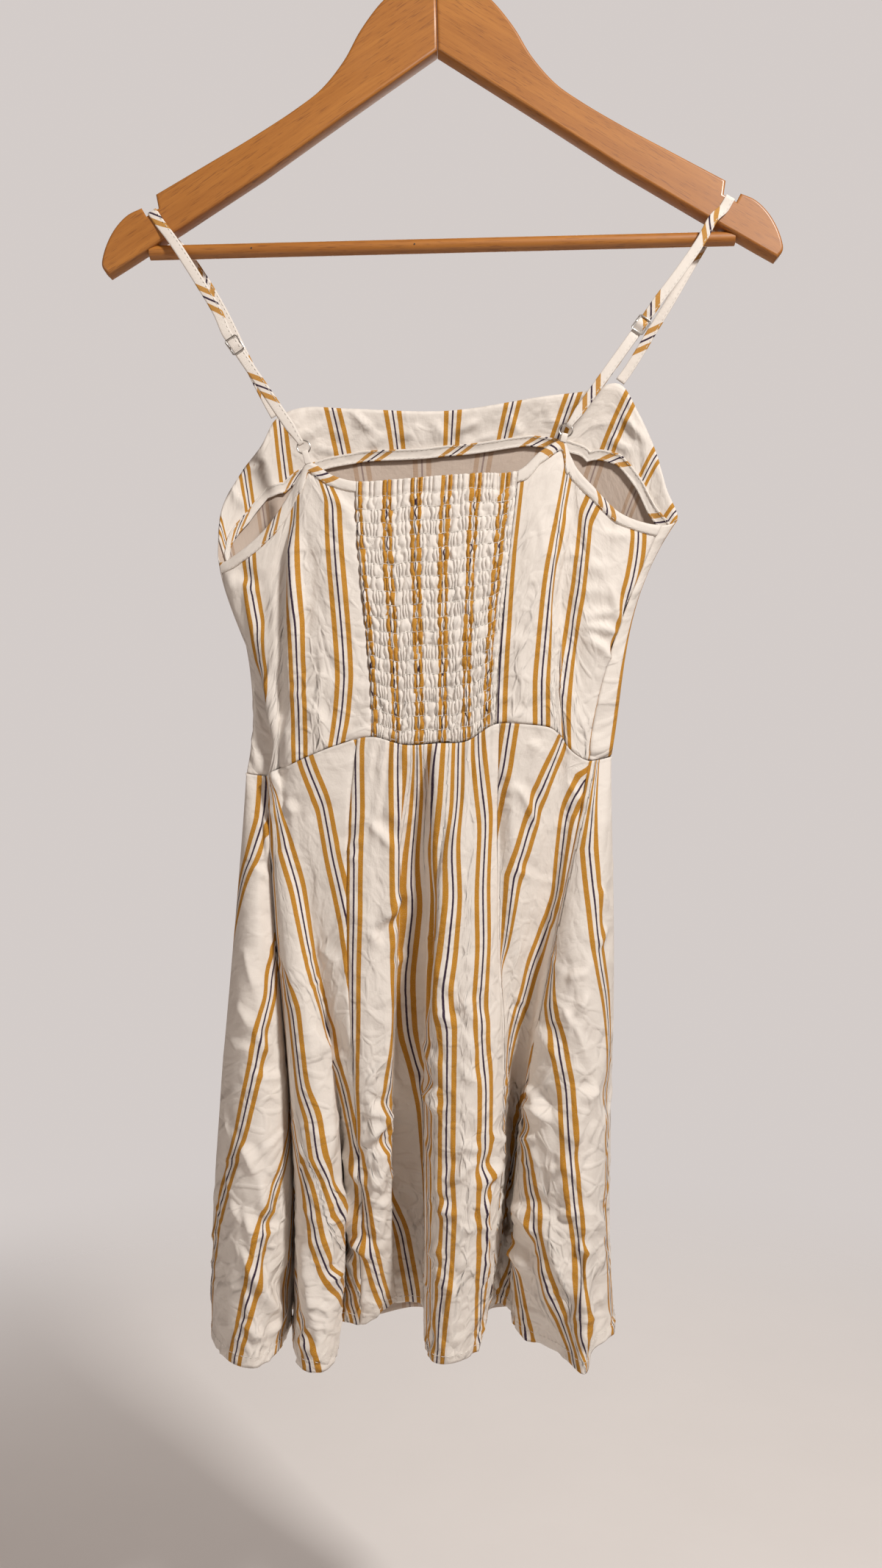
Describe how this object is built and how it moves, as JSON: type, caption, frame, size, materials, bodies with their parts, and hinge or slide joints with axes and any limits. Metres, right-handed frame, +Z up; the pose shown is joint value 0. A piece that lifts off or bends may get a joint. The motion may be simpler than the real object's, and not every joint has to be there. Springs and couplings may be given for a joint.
{
  "type": "sundress on a wooden hanger",
  "caption": "Short striped sundress with thin adjustable straps and a smocked elastic back, hanging on a notched wooden hanger with a trouser bar.",
  "frame": {"origin": "inside top of the hanger's hook, where it hangs on a rod", "axes": "+Z up, -Y towards the viewer of the garment's back, +X to that viewer's right"},
  "size_m": [0.4419, 0.0994, 0.9817],
  "materials": {
    "striped_cloth": "matt woven viscose, cream with mustard and dark plum stripes",
    "bias_cloth": "the same cloth cut on the bias, so its stripes run diagonally",
    "varnished_wood": "warm orange-brown beech under semi-gloss varnish",
    "bright_metal": "nickel-plated steel"
  },
  "bodies": {
    "root": {"front_bodice": "striped_cloth", "front_facing": "striped_cloth", "back_panel_left": "striped_cloth", "back_panel_right": "striped_cloth", "smocked_panel": "striped_cloth", "skirt_back_left": "striped_cloth", "skirt_back_centre": "striped_cloth", "skirt_back_right": "striped_cloth", "skirt_front_right": "striped_cloth", "skirt_front_centre": "striped_cloth", "skirt_front_left": "striped_cloth", "facing_binding": "bias_cloth", "back_binding_left": "bias_cloth", "back_binding_right": "bias_cloth", "strap_left": "bias_cloth", "strap_right": "bias_cloth", "ring_tab_left": "bias_cloth", "ring_tab_right": "bias_cloth", "hanger_arm_left": "varnished_wood", "hanger_arm_right": "varnished_wood", "hanger_bar": "varnished_wood", "hanger_hook": "bright_metal", "ring_left": "bright_metal", "ring_right": "bright_metal", "slider_left": "bright_metal", "slider_right": "bright_metal"}
  },
  "joints": []
}
